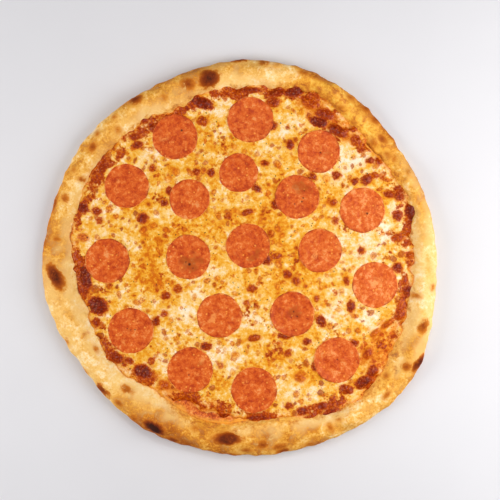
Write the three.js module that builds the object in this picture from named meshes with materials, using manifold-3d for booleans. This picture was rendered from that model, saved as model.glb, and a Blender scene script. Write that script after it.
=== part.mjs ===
// A pepperoni pizza, 33 cm across: a risen dough base with a puffed, uneven rim, a thin layer of
// tomato sauce, a layer of melted cheese with browned blisters, and nineteen slices of pepperoni.
// Millimetres, +Z up. The origin is in the middle of the flat underside, on the surface it rests on.

import * as THREE from "three";
import { mergeVertices } from "three/addons/utils/BufferGeometryUtils.js";
import Module from "manifold-3d";

const wasm = await Module();
wasm.setup();

// Driving sizes
const DIAMETER = 330; // mean, across the rim
const RIM_WIDTH = 22.7; // mean, from the outside to the toppings
const RIM_HEIGHT = 15; // mean, above the surface it rests on
const BASE_THICKNESS = 4; // dough under the toppings
const SAUCE_THICKNESS = 0.9;
const CHEESE_THICKNESS = 2.9;
const SLICE_THICKNESS = 1.7;
const SLICE_DISH = 0.45; // how far its middle lies below its edge
const SLICE_SINK = 1; // how far a slice has sunk into the cheese
const LAYER_GAP = 0.3; // clearance between one layer and the next
const SAUCE_CLEARANCE = 0.6; // from the sauce's edge to the foot of the rim
const CHEESE_MARGIN = 2.8; // mean strip of sauce that shows outside the cheese

// Worked out from them
const OUTER = DIAMETER / 2;
const WELL = OUTER - RIM_WIDTH;
const SAUCE_BOTTOM = BASE_THICKNESS + LAYER_GAP;
const SAUCE_TOP = SAUCE_BOTTOM + SAUCE_THICKNESS;
const CHEESE_BOTTOM = SAUCE_TOP + LAYER_GAP;
const CHEESE_TOP = CHEESE_BOTTOM + CHEESE_THICKNESS;
const SEAT = CHEESE_TOP - SLICE_SINK;

// Sides of the round pieces
const DOUGH_SIDES = 120;
const LAYER_SIDES = 90;
const SLICE_SIDES = 24;
const BLISTER_SIDES = 7;
const BLISTER_RINGS = 4;
const MERGE = 1e-4;

// A hand-stretched outline is a circle with a few waves on it: [lobes, height, turn in degrees].
const OUTLINE_WAVES = [
  [2, 2.4, 92], [3, 3, 139], [4, 1.2, 104], [5, 0.6, -165], [6, 1, -94], [7, 0.5, 167], [8, 0.8, -64],
];
const WELL_WAVES = [
  [1, 3.7, -55], [2, 2.6, 57], [3, 2.6, 163], [4, 0.6, 88], [5, 2, -54], [6, 1.9, -69], [8, 1.3, 116],
  [9, 1.2, 178],
];
const HEIGHT_WAVES = [[2, 0.8, 150], [3, 0.9, 20], [5, 0.8, 75], [8, 0.6, 200], [13, 0.5, 40]];
const CREST_WAVES = [[3, 1.2, 60], [7, 0.9, 200], [11, 0.6, 320]];
const MARGIN_WAVES = [[1, 0.6, 90], [7, 0.4, 30], [12, 0.5, 100], [17, 0.3, 10]];
// Where the rim has sagged and oil has run over it: [angle, half width in degrees, depth].
const RIM_SAGS = [[42, 15, 3.5], [322, 10, 2.5]];
// Air bubbles in the rim: [angle, share of the way out across the rim, radius, height].
const RIM_BUBBLES = [
  [6, 0.55, 9, 2.2], [23, 0.6, 8, 1.6], [62, 0.6, 10, 2.4], [84, 0.5, 9, 2], [101, 0.5, 9, 2.6],
  [127, 0.5, 10, 2.2], [152, 0.55, 8, 1.9], [169, 0.5, 9, 1.7], [186, 0.55, 11, 2.8], [208, 0.5, 9, 1.8],
  [229, 0.5, 8, 2], [243, 0.7, 9, 2.6], [266, 0.5, 11, 2.4], [287, 0.5, 8, 1.7], [304, 0.6, 9, 2.1],
  [341, 0.6, 9, 2.2],
];
// Cross-section of the dough at the mean radius: [radius in from the outside, height].
const RIM_SECTION = [
  [13.5, 0], [8, 0.7], [3, 2.9], [0.5, 5.8], [0, 8.2], [1.2, 11], [4, 13.6], [8, 15], [12.3, 14.7],
  [16, 12.8], [19, 9.9], [21.2, 6.8],
];
// Long waves of the melted cheese: [wavelength, height, direction in degrees, turn in degrees].
const CHEESE_WAVES = [[62, 0.25, 20, 0], [47, 0.2, 95, 70], [33, 0.18, 150, 200], [26, 0.12, 60, 310]];
// Slices of pepperoni: [x, y, radius].
const SLICES = [
  [-57, 103, 19], [6, 117.5, 19.3], [63, 91, 18], [-97.5, 62, 18.6], [-45, 51, 17], [-4, 73, 16.5],
  [45, 53, 18.6], [99.5, 42, 19.1], [-113.5, -0.5, 18.7], [-46, 2.5, 18.8], [4, 12, 18.7], [64, 8, 18.4],
  [110, -20.5, 19.3], [-94, -59, 19.2], [-20, -46.5, 18.8], [41, -45, 18.8], [-44.5, -92, 19.2],
  [9, -108.5, 19.3], [78, -83.5, 19.2],
];
// The larger browned blisters in the cheese: [x, y, length, width, direction in degrees].
const BLISTERS = [
  [140, 40, 9, 7.5, 90], [129, 19, 7.5, 6, 0], [122, 55, 7, 4.5, -10], [130, 53, 6, 5, -30],
  [103, 67, 7.5, 5, 30], [80, 107, 8.5, 5, -35], [64, 116, 11.5, 5, -15], [67, 124, 8.5, 4.5, 0],
  [40, 142, 9, 5, 10], [-34, 132, 11.5, 6, -25], [-89, 96, 7, 5, 20], [-117, 77, 11.5, 5, 53],
  [-134, 44, 7.5, 7, 90], [-134, -14, 15, 6, 105], [-121, -38, 11, 10, 0], [-107, -81, 7.5, 5, -25],
  [-84, -93, 11, 7.5, -20], [-66, -104, 8.5, 5, -30], [-16, -131, 8.5, 4.5, -10], [50, -126, 7.5, 4.5, 5],
  [66, -122, 7, 4, 10], [86, -107, 7, 4.5, 0], [100, -102, 10, 5, 25], [107, -94, 6, 4.5, 90],
  [129, -6, 6, 6, 0], [137, -26, 7, 5, 90], [-84, 35, 7, 7, 0], [3, 40, 7.5, 4, 15],
  [19, 1, 7.5, 6, -40], [7, -24, 6, 4.5, 0], [-55, -24, 6, 5, 0], [-31, -72, 7, 5, 0],
  [9, -65, 8.5, 4.5, 10], [37, -12, 6, 4.5, -45], [90, -39, 7.5, 5, 90], [65, -51, 7.5, 5, -55],
  [35, -63, 8.5, 4.5, 0],
];
const BLISTER_RISE = 0.13; // height of a blister as a share of its length
const BLISTER_SINK = 0.3; // how far its middle lies below the cheese around it

const radians = THREE.MathUtils.degToRad;

// The sum of a list of waves round the pizza, at an angle in radians.
const wavesAt = (waves, angle) =>
  waves.reduce((sum, [lobes, height, turn]) => sum + height * Math.cos(lobes * angle + radians(turn)), 0);

// The angle in degrees from one direction to another, between -180 and 180.
const degreesBetween = (from, to) => ((((to - from) % 360) + 540) % 360) - 180;

const outerRadius = (angle) => OUTER + wavesAt(OUTLINE_WAVES, angle);
const wellRadius = (angle) => WELL + wavesAt(WELL_WAVES, angle);
const sauceRadius = (angle) => wellRadius(angle) - SAUCE_CLEARANCE;
const cheeseRadius = (angle) => wellRadius(angle) - CHEESE_MARGIN - wavesAt(MARGIN_WAVES, angle);

function rimHeight(angle) {
  const sag = RIM_SAGS.reduce((sum, [centre, halfWidth, depth]) => {
    const away = degreesBetween(centre, THREE.MathUtils.radToDeg(angle)) / halfWidth;
    return sum + depth * Math.exp(-away * away);
  }, 0);
  return RIM_HEIGHT + wavesAt(HEIGHT_WAVES, angle) - sag;
}

function bubbleRise(x, y) {
  return RIM_BUBBLES.reduce((sum, [degrees, share, radius, height]) => {
    const angle = radians(degrees);
    const middle = THREE.MathUtils.lerp(wellRadius(angle), outerRadius(angle), share);
    const away = Math.hypot(x - middle * Math.cos(angle), y - middle * Math.sin(angle)) / radius;
    return sum + height * Math.exp(-away * away);
  }, 0);
}

const cheeseRelief = (x, y) =>
  CHEESE_WAVES.reduce((sum, [length, height, direction, turn]) => {
    const along = x * Math.cos(radians(direction)) + y * Math.sin(radians(direction));
    return sum + height * Math.cos((2 * Math.PI * along) / length + radians(turn));
  }, 0);

// A solid of revolution about +Z from a profile that runs from the bottom of the axis to its top.
function turned(profile, sides) {
  const points = profile.map(([radius, height]) => new THREE.Vector2(radius, height));
  return new THREE.LatheGeometry(points, sides).rotateX(Math.PI / 2);
}

// Moves every vertex of a geometry to where place(radius, angle, height) puts it, as [x, y, z].
function shaped(geometry, place) {
  const position = geometry.getAttribute("position");
  for (let i = 0; i < position.count; i++) {
    const x = position.getX(i);
    const y = position.getY(i);
    position.setXYZ(i, ...place(Math.hypot(x, y), Math.atan2(y, x), position.getZ(i)));
  }
  return geometry;
}

// A three.js geometry as a manifold solid, and back.
function solidOf(geometry) {
  const bare = geometry.clone();
  bare.deleteAttribute("normal");
  bare.deleteAttribute("uv");
  const merged = mergeVertices(bare, MERGE);
  return new wasm.Manifold(
    new wasm.Mesh({
      numProp: 3,
      vertProperties: merged.attributes.position.array,
      triVerts: new Uint32Array(merged.index.array),
    }),
  );
}

function geometryOf(solid) {
  const { vertProperties, triVerts } = solid.getMesh();
  const geometry = new THREE.BufferGeometry();
  geometry.setAttribute("position", new THREE.BufferAttribute(vertProperties, 3));
  geometry.setIndex(new THREE.BufferAttribute(triVerts, 1));
  geometry.computeVertexNormals();
  return geometry;
}

function piece(name, geometry, color, roughness) {
  const mesh = new THREE.Mesh(
    geometry,
    new THREE.MeshStandardMaterial({ color, roughness, metalness: 0 }),
  );
  mesh.name = name;
  return mesh;
}

// The base and its rim in one: flat underneath, with a level floor for the toppings.
function dough() {
  const profile = [
    [0, 0],
    ...RIM_SECTION.map(([inward, height]) => [OUTER - inward, height]),
    [WELL, BASE_THICKNESS],
    [0, BASE_THICKNESS],
  ];
  const place = (radius, angle, height) => {
    const well = wellRadius(angle);
    const outwards = (radius - WELL) / RIM_WIDTH;
    if (outwards <= MERGE) {
      const r = (radius * well) / WELL;
      return [r * Math.cos(angle), r * Math.sin(angle), height];
    }
    const r = THREE.MathUtils.lerp(well, outerRadius(angle), outwards);
    const upperPart = THREE.MathUtils.smoothstep(height, BASE_THICKNESS, RIM_HEIGHT);
    const inside = 4 * outwards * (1 - outwards);
    const leaning = r + upperPart * inside * wavesAt(CREST_WAVES, angle);
    const [x, y] = [leaning * Math.cos(angle), leaning * Math.sin(angle)];
    return [x, y, (height * rimHeight(angle)) / RIM_HEIGHT + upperPart * bubbleRise(x, y)];
  };
  return piece("crust", shaped(turned(profile, DOUGH_SIDES), place), 0xecb46a, 0.75);
}

// A thin disc that reaches almost to the foot of the rim.
function sauce() {
  const profile = [
    [0, SAUCE_BOTTOM],
    [1, SAUCE_BOTTOM],
    [1 - SAUCE_THICKNESS / WELL, SAUCE_TOP],
    [0, SAUCE_TOP],
  ];
  const place = (radius, angle, height) => {
    const r = radius * sauceRadius(angle);
    return [r * Math.cos(angle), r * Math.sin(angle), height];
  };
  return piece("sauce", shaped(turned(profile, LAYER_SIDES), place), 0xb8501c, 0.4);
}

// The plain layer of cheese, gently waved on top, with a rounded edge.
function cheeseSheet() {
  const profile = [
    [0, CHEESE_BOTTOM],
    [0.99, CHEESE_BOTTOM],
    [1, CHEESE_BOTTOM + CHEESE_THICKNESS * 0.35],
    [0.985, CHEESE_TOP - CHEESE_THICKNESS * 0.2],
    [0.95, CHEESE_TOP],
    [0.84, CHEESE_TOP],
    [0.7, CHEESE_TOP],
    [0.55, CHEESE_TOP],
    [0.38, CHEESE_TOP],
    [0.2, CHEESE_TOP],
    [0, CHEESE_TOP],
  ];
  const place = (radius, angle, height) => {
    const r = radius * cheeseRadius(angle);
    const [x, y] = [r * Math.cos(angle), r * Math.sin(angle)];
    const onTop = THREE.MathUtils.smoothstep(height, CHEESE_BOTTOM, CHEESE_TOP);
    return [x, y, height + onTop * cheeseRelief(x, y)];
  };
  return shaped(turned(profile, LAYER_SIDES), place);
}

// A low mound, half sunk in the cheese, kept inside the cheese's edge.
function blister([x, y, length, width, direction]) {
  const angle = Math.atan2(y, x);
  const radius = Math.min(Math.hypot(x, y), cheeseRadius(angle) - length / 2);
  const middle = new THREE.Vector3(radius * Math.cos(angle), radius * Math.sin(angle), 0);
  middle.z = CHEESE_TOP + cheeseRelief(middle.x, middle.y) - BLISTER_SINK;
  const rise = BLISTER_SINK + BLISTER_RISE * length;
  return new THREE.SphereGeometry(1, BLISTER_SIDES, BLISTER_RINGS)
    .rotateX(Math.PI / 2)
    .scale(length / 2, width / 2, rise)
    .rotateZ(radians(direction))
    .translate(middle.x, middle.y, middle.z);
}

// The hollow that a slice has melted into the cheese.
function seat([x, y, radius]) {
  const depth = 2 * CHEESE_THICKNESS;
  return new THREE.CylinderGeometry(radius + LAYER_GAP, radius + LAYER_GAP, depth, SLICE_SIDES)
    .rotateX(Math.PI / 2)
    .translate(x, y, SEAT + depth / 2);
}

function cheese() {
  let solid = solidOf(cheeseSheet());
  for (const one of BLISTERS) solid = solid.add(solidOf(blister(one)));
  for (const one of SLICES) solid = solid.subtract(solidOf(seat(one)));
  return piece("cheese", geometryOf(solid), 0xf0b04c, 0.45);
}

// A thin round slice, a little dished, with a raised edge.
function slice([x, y, radius], index) {
  const profile = [
    [0, 0],
    [radius - 0.4, 0],
    [radius, SLICE_THICKNESS * 0.45],
    [radius - 0.9, SLICE_THICKNESS],
    [0, SLICE_THICKNESS - SLICE_DISH],
  ];
  const name = "pepperoni_" + String(index + 1).padStart(2, "0");
  const mesh = piece(name, turned(profile, SLICE_SIDES), 0xdc6a2e, 0.45);
  mesh.position.set(x, y, SEAT + LAYER_GAP);
  return mesh;
}

const pizza = new THREE.Group();
pizza.add(dough(), sauce(), cheese(), ...SLICES.map(slice));

export default pizza;
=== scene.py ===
"""A pepperoni pizza, 33 cm across, seen from straight above on a pale floor.

The tables and the shaping functions are in millimetres and degrees, in the frame of the solids: the
origin is in the middle of the flat underside, +Z up. The finished meshes are in metres.
"""
import math
import random

import bmesh
import bpy
import numpy as np
from mathutils import Matrix, Vector, kdtree


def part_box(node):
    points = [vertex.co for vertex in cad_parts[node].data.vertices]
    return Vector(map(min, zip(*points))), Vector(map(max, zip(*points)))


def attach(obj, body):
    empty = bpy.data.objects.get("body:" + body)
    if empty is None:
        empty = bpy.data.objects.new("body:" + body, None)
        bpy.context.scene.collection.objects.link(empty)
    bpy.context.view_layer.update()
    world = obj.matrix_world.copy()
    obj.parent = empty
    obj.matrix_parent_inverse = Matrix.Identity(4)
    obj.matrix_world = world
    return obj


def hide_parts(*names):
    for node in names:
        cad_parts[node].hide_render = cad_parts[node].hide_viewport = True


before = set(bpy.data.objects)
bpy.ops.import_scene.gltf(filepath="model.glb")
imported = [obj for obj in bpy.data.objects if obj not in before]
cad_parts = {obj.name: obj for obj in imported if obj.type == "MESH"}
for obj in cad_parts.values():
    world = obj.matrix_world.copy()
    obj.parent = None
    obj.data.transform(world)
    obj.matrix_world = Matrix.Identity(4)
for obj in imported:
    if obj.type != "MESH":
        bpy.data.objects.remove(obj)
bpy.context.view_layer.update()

MM = 0.001


def box_mm(node):
    """The lowest and highest corner of a solid, in millimetres."""
    low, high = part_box(node)
    return np.array(low) / MM, np.array(high) / MM


# Sizes of the dough
OUTER = 165  # mean radius of the outside
RIM_WIDTH = 22.7
WELL = OUTER - RIM_WIDTH  # mean radius of the floor that the toppings lie on
RIM_HEIGHT = 15
BASE_THICKNESS = 4

# Sizes of the layers
SAUCE_BOTTOM = box_mm("sauce")[0][2]
SAUCE_TOP = box_mm("sauce")[1][2]
CHEESE_BOTTOM = box_mm("cheese")[0][2]
CHEESE_THICKNESS = 2.9
CHEESE_TOP = CHEESE_BOTTOM + CHEESE_THICKNESS
SLICE_NAMES = sorted(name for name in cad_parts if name.startswith("pepperoni"))
SLICE_DISH = 0.45  # how far a slice's middle lies below its edge

# How fine the meshes are
CRUST_STEPS = 860
SAUCE_STEPS = 480
SLICE_STEPS = 100
CHEESE_CELLS = 310
MERGE = 1e-4  # points closer than this become one
RIPPLE_WAVES = 18
GAP_LIMIT = 4  # how far outside an oval its gap is still kept

# Waves round the pizza: (lobes, height, turn)
OUTLINE_WAVES = [
    (2, 2.4, 92), (3, 3, 139), (4, 1.2, 104), (5, 0.6, -165), (6, 1, -94), (7, 0.5, 167), (8, 0.8, -64),
]
WELL_WAVES = [
    (1, 3.7, -55), (2, 2.6, 57), (3, 2.6, 163), (4, 0.6, 88), (5, 2, -54), (6, 1.9, -69), (8, 1.3, 116),
    (9, 1.2, 178),
]
HEIGHT_WAVES = [(2, 0.8, 150), (3, 0.9, 20), (5, 0.8, 75), (8, 0.6, 200), (13, 0.5, 40)]
CREST_WAVES = [(3, 1.2, 60), (7, 0.9, 200), (11, 0.6, 320)]
# Long waves of the cheese: (length, height, direction, turn)
CHEESE_WAVES = [(62, 0.25, 20, 0), (47, 0.2, 95, 70), (33, 0.18, 150, 200), (26, 0.12, 60, 310)]

# Fine relief: (size of the lumps, height, seed)
SAUCE_PULP = [(4, 0.3, 21), (1.8, 0.2, 22)]
SLICE_GRAIN = [(6, 0.12, 51), (2.4, 0.09, 52), (1.2, 0.05, 53)]

# Places round the rim: (angle, half width, strength or depth)
RIM_SAGS = [(42, 15, 3.5), (322, 10, 2.5)]
CHEESE_RETREATS = [(249, 6, 12), (261, 8, 8)]
# How far the foot of the rim's inner slope has crept in over the toppings: (angle, distance)
FOOT_CREEP = [
    (0, 4.5), (10, 4.5), (16, 0), (20, 3), (30, 2), (40, -1), (60, -1), (68, 1), (80, 5), (86, 4),
    (93, 1.5), (105, -1), (111, 4.5), (116, 4.5), (123, 0.5), (130, 3.5), (140, 3.5), (146, 1), (160, 0.5),
    (170, 2.5), (180, 4.5), (205, 4.5), (212, 1), (225, 1), (235, 3), (245, 0.5), (265, -1), (275, 1.5),
    (283, 3.5), (290, 5), (300, 5.5), (307, 3), (314, -1.5), (322, -1), (335, 2), (350, 4.5),
]
# Places round the rim: where it is pale inside, pale outside, toasted, and oily from the toppings
PALE_PLACES = [
    (92, 14, 1), (122, 11, 0.9), (155, 14, 0.9), (182, 12, 0.8), (206, 18, 0.75), (229, 12, 0.8),
    (243, 9, 0.7), (272, 10, 0.5), (286, 14, 0.9), (303, 8, 0.7), (328, 8, 0.6), (350, 14, 1), (5, 12, 1),
]
FLOURY_PLACES = [
    (342, 16, 0.75), (5, 14, 0.75), (26, 8, 0.35), (95, 12, 0.35), (188, 12, 0.5), (214, 14, 0.5),
]
TOASTED_PLACES = [
    (172, 14, 0.6), (120, 9, 0.14), (45, 20, 0.6), (68, 9, 0.4), (265, 20, 0.4), (242, 11, 0.62),
    (108, 15, 0.3), (330, 12, 0.2), (22, 9, 0.2), (218, 9, 0.16), (0, 10, 0.16),
]
OILY_PLACES = [
    (45, 17, 0.85), (62, 8, 0.6), (72, 6, 0.35), (262, 14, 0.26), (248, 8, 0.15), (317, 9, 0.6),
    (284, 12, 0.22), (300, 10, 0.16), (112, 12, 0.14), (132, 14, 0.14), (16, 9, 0.15), (190, 8, 0.08),
    (348, 8, 0.1), (88, 8, 0.08), (218, 10, 0.1), (332, 8, 0.2),
]

# Air bubbles in the rim: (angle, share of the way out across the rim, radius, height)
RIM_BUBBLES = [
    (6, 0.55, 9, 2.2), (23, 0.6, 8, 1.6), (62, 0.6, 10, 2.4), (84, 0.5, 9, 2), (101, 0.5, 9, 2.6),
    (127, 0.5, 10, 2.2), (152, 0.55, 8, 1.9), (169, 0.5, 9, 1.7), (186, 0.55, 11, 2.8), (208, 0.5, 9, 1.8),
    (229, 0.5, 8, 2), (243, 0.7, 9, 2.6), (266, 0.5, 11, 2.4), (287, 0.5, 8, 1.7), (304, 0.6, 9, 2.1),
    (341, 0.6, 9, 2.2),
]
# Cross-section of the dough at the mean radius: (radius in from the outside, height)
RIM_SECTION = [
    (13.5, 0), (8, 0.7), (3, 2.9), (0.5, 5.8), (0, 8.2), (1.2, 11), (4, 13.6), (8, 15), (12.3, 14.7),
    (16, 12.8), (19, 9.9), (21.2, 6.8),
]
# Scorched spots on the rim: (angle, distance from the middle, length round the rim, width, slant, tone)
RIM_SPOTS = [
    (28, 156, 7, 5, 10, 0.35), (34, 152, 7, 5, -20, 0.35), (41, 154, 8, 5, 0, 0.6),
    (47, 161, 8, 5, 0, 0.6), (51, 162.5, 8, 4, 0, 0.6), (36, 149, 8, 5, 0, 0.35), (42, 147, 9, 6, 0, 0.35),
    (57.5, 151, 8, 5, 10, 0.35), (63.5, 149, 9, 6, 0, 0.4), (56.5, 162.5, 6, 4, 0, 0.5),
    (67, 168, 10, 3, 0, 0.6), (72, 164, 7, 4, 0, 0.5), (80, 165.5, 7, 4, 10, 0.45),
    (84, 165, 8, 5, 0, 0.55), (91, 167.5, 13, 3.5, 0, 0.75), (100.5, 153.5, 17, 12, 12, 0.86),
    (107.5, 153.5, 11, 9, 0, 0.6), (116, 150.5, 7, 6, 0, 0.35), (124, 160, 12, 7, 0, 0.7),
    (132, 160, 6, 5, 0, 0.35), (134, 150.5, 5, 6, 0, 0.35), (139, 160, 6, 5, 0, 0.35),
    (143, 156.5, 7.5, 5.5, 0, 0.65), (152, 159, 6, 5, 0, 0.35), (153.5, 150.5, 4, 6, 0, 0.55),
    (161, 157, 6.5, 5, 0, 0.55), (163, 164, 16, 4, 0, 0.5), (173.5, 156.5, 4, 6, 0, 0.5),
    (185, 156.5, 22, 10, 24, 0.82), (205, 145, 5, 5, 0, 0.4), (205, 161.5, 6, 3, 0, 0.4),
    (211, 144, 5, 4, 0, 0.4), (215, 161.5, 6, 3, 0, 0.4), (222.5, 159.5, 14, 5, 0, 0.75),
    (229, 157, 8, 5, 0, 0.5), (228, 144.5, 11, 7, 20, 0.42), (235.5, 160, 7, 5, 0, 0.5),
    (242, 157, 18, 9, 4, 1.15), (248.5, 160, 9, 4.5, 0, 0.8), (254, 145.5, 6, 5, 0, 0.35),
    (265, 149, 23, 9, 8, 0.86), (266, 162.5, 15, 3.5, 0, 0.5), (271, 158, 8, 4, 0, 0.5),
    (276, 154, 11, 7, 0, 0.55), (281, 158, 13, 5, 0, 0.5), (282, 162.5, 11, 3, 0, 0.7),
    (290, 162.5, 11, 3, 0, 0.45), (297.5, 157, 6, 9, 0, 0.35), (301, 154, 6, 6, 0, 0.35),
    (317, 164, 9, 4, 0, 0.45), (321, 153, 5, 4, 0, 0.5), (327, 162, 7, 7, 0, 0.6),
    (329.5, 169, 13, 5, 0, 1.05), (340, 159, 11, 8, 0, 0.6), (348.5, 147, 5, 9, 0, 0.35),
    (352, 159, 6, 5, 0, 0.35),
]
# Browned patches in the cheese: (x, y, length, width, direction, tone)
BROWN_PATCHES = [
    (141, 41, 13, 9.5, 85, 1), (140, 31, 5, 5, 0, 0.75), (129, 37, 6, 6, 90, 0.75),
    (129, 19, 7.5, 6, 0, 0.6), (137, 24, 5, 4.2, 0, 0.5), (122, 55, 7, 4.5, -10, 0.75),
    (130, 53, 6, 5, -30, 0.75), (106, 83, 4.2, 3.3, 0, 0.7), (113, 83, 4.2, 3.3, 90, 0.65),
    (103, 67, 8.5, 6, 30, 0.75), (93, 66, 3.5, 3.5, 0, 0.8), (110, 71, 5, 3.5, 0, 0.5),
    (94, 100, 8, 6, -45, 0.6), (79, 108, 16, 7, -32, 0.8), (63, 115.5, 13, 6.5, -20, 1),
    (68, 122, 14, 8, -15, 0.7), (39, 97, 5.5, 4.5, 90, 0.8), (43, 140.5, 14, 6.5, 12, 0.95),
    (28, 140, 12, 6, 10, 0.8), (25, 132, 9, 7, 0, 0.65), (5, 142, 16, 4, 0, 0.7),
    (55, 131, 12, 7, -30, 0.5), (25, 112, 5, 4.2, 60, 0.75), (-35, 132, 18, 8, -22, 0.9),
    (-34, 116.5, 9, 6.5, 0, 0.55), (-83, 117, 6, 3.5, 20, 0.6), (-76, 111, 5, 3.5, 110, 0.85),
    (-91, 103, 5, 4.2, 0, 0.75), (-89, 96, 7, 4.5, 20, 0.75), (-117, 77, 10, 4.5, 53, 0.75),
    (-134, 44, 7.5, 7, 90, 0.9), (-123, 41, 5, 4.2, -20, 0.75), (-120, 33, 3.5, 3.5, 0, 0.55),
    (-134, 19, 7.5, 6, 0, 0.4), (-132, -15, 18, 8, 105, 0.95), (-122, -38, 15, 12, -20, 0.95),
    (-132, -26, 5, 5, 0, 0.7), (-123, -52, 5, 5, 0, 0.7), (-107, -81, 10, 7, -25, 0.8),
    (-96, -84, 5, 3.5, -20, 0.65), (-84, -93, 13, 9, -20, 0.95), (-77, -85, 5, 4.2, 90, 0.6),
    (-66, -104, 8.5, 5, -30, 0.45), (-16, -131, 8.5, 4.5, -10, 0.8), (-14, -134, 8, 6, 0, 0.9),
    (12, -132, 18, 3.5, 3, 0.8), (33, -134, 16, 4, 14, 0.7), (57, -131, 10, 4, 25, 0.7),
    (73, -127, 12, 5, 28, 0.75), (38, -122, 4.2, 4.2, 0, 0.65), (50, -126, 7.5, 4.5, 5, 0.85),
    (66, -122, 7, 4, 10, 0.8), (81, -119, 7.5, 3, 20, 0.6), (86, -108, 9, 6, 0, 0.7),
    (100, -102, 13, 7.5, 25, 0.9), (108, -93, 8, 6, 70, 0.8), (93, -69, 4.2, 3.5, -45, 0.8),
    (129, -6, 6, 6, 0, 0.8), (139, 4, 5, 4.2, 0, 0.5), (137, -26, 7, 5, 90, 0.85),
    (145, -28, 7, 2.6, -15, 0.7), (131, -46, 8, 6, 30, 0.6), (121, -53, 13, 4, 38, 0.42),
    (110, -61, 9, 4, 35, 0.4), (104, -78, 9, 6, 60, 0.5), (47, -98, 6, 8, 70, 0.4),
    (-84, 35, 7, 7, 0, 0.8), (-66, 48, 3.5, 3.5, 0, 0.85), (-39, 74, 3.5, 3.5, 0, 0.75),
    (-27, 73, 3.8, 3.8, 0, 0.8), (-76, 77, 4.2, 4.2, 0, 0.6), (-62, 58, 4.2, 3.5, 60, 0.75),
    (18, 81, 5, 3.5, 0, 0.7), (11, 60, 5, 3.5, -30, 0.85), (3, 40, 7.5, 3.5, 15, 0.7),
    (27, 47, 5, 5, 0, 0.75), (58, 70, 5, 3.5, -40, 0.75), (78, 71, 4.2, 4.2, 0, 0.75),
    (75, 48, 4.2, 4.2, 0, 0.65), (77, 33, 4.2, 3.5, 90, 0.55), (19, 1, 7.5, 6, -40, 0.85),
    (7, -24, 6, 4.5, 0, 0.6), (3, -36, 3.5, 3.5, 0, 0.5), (-65, -30, 5, 4.2, 0, 0.75),
    (-55, -24, 6, 5, 0, 0.55), (-73, -51, 5, 4.2, 90, 0.85), (-66, -45, 4.2, 3.5, 0, 0.5),
    (-31, -72, 7, 5, 0, 0.75), (9, -65, 8.5, 4.5, 10, 0.6), (-19, -88, 4.2, 4.2, 0, 0.4),
    (37, -12, 6, 4.5, -45, 0.7), (44, -17, 6, 4.5, -45, 0.6), (99, 8, 3.5, 3.5, 0, 0.7),
    (86, -17, 5, 3.5, 90, 0.65), (90, -39, 7.5, 5, 90, 0.85), (65, -51, 7.5, 5, -55, 0.85),
    (61, -32, 4.2, 3.5, 90, 0.55), (53, -68, 4.2, 3.5, 0, 0.75), (37, -78, 4.2, 4.2, 0, 0.55),
    (35, -63, 8.5, 4.5, 0, 0.8), (60, -89, 5, 3.5, 90, 0.8),
]
# Where orange oil and sauce have stewed through: (x, y, length, width, direction, tone)
STEWED_PATCHES = [
    (-54, -113, 56, 22, 325, 1), (-29, -124, 26, 20, 347, 0.7), (114, -77, 46, 30, 60, 1),
    (84, 109, 46, 16, 140, 0.85), (58, 127, 34, 16, 155, 0.85), (-60, 122, 26, 8, 206, 0.9),
    (-140, 6, 18, 9, 267, 0.6), (-115, -68, 20, 8, 300, 0.9), (30, -132, 40, 7, 8, 0.6),
    (-100, -88, 26, 8, 315, 0.6),
]
# Where the cheese is creamier, and where orange oil has gathered: (x, y, length, width, direction, tone)
CREAMY_PATCHES = [
    (107, -52, 20, 14, 30, 1), (96, 16, 50, 40, -30, 0.7), (80, -42, 34, 34, 0, 0.8),
    (14, -50, 24, 22, 0, 0.7), (-10, -90, 18, 14, 0, 0.8), (-56, -62, 20, 14, 0, 0.6),
    (-100, -31, 18, 16, 0, 0.6), (-16, 106, 18, 12, 0, 0.6), (31, 106, 24, 12, 0, 0.6),
    (90, 82, 36, 18, 40, 0.8), (42, 116, 24, 14, 0, 0.7), (-48, -45, 26, 22, 0, 0.55),
    (-68, -86, 24, 18, 30, 0.8), (-22, 124, 18, 12, 0, 0.4), (118, 24, 24, 22, 0, 0.8),
    (-84, 82, 26, 14, 40, 0.5), (-14, -78, 40, 30, 0, 0.5), (80, -60, 30, 26, 0, 0.6),
    (-118, 14, 20, 16, 90, 0.4), (88, -8, 30, 26, 0, 0.6), (56, -112, 34, 12, 0, 0.5),
]
ORANGE_PATCHES = [
    (-75, 18, 26, 34, 20, 1), (-22, 0, 20, 16, 0, 1), (24, 40, 44, 38, 30, 0.8), (51, -3, 30, 50, 10, 0.9),
    (-36, 47, 18, 16, 0, 0.8), (48, -97, 34, 20, 0, 0.8), (118, -71, 32, 34, 0, 1),
    (-80, -12, 70, 24, 80, 1), (-22, 34, 48, 34, 20, 0.7), (30, 2, 60, 22, 100, 0.8),
    (-62, 24, 40, 26, 0, 0.6), (78, 52, 30, 20, 0, 0.6), (26, 64, 34, 26, 0, 0.55),
    (112, 52, 24, 30, 45, 0.8), (70, 20, 30, 24, 0, 0.4), (-26, -104, 26, 20, 0, 0.7),
    (18, -84, 36, 20, 0, 0.4), (-8, 96, 40, 16, 0, 0.5), (60, -40, 30, 16, 60, 0.4),
    (-60, 78, 24, 20, 0, 0.5),
]

# Each slice's own colour, from -1, dark red, to 1, light orange
SLICE_TINTS = [
    -0.1, 0.1, 0.3, -0.15, 0, 0.05, 0.1, 0.7, 0.15, 0, -0.05, 0.45, 0.9, 0.25, 0.3, 0, 0.1, 0.05, 0.3,
]
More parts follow.
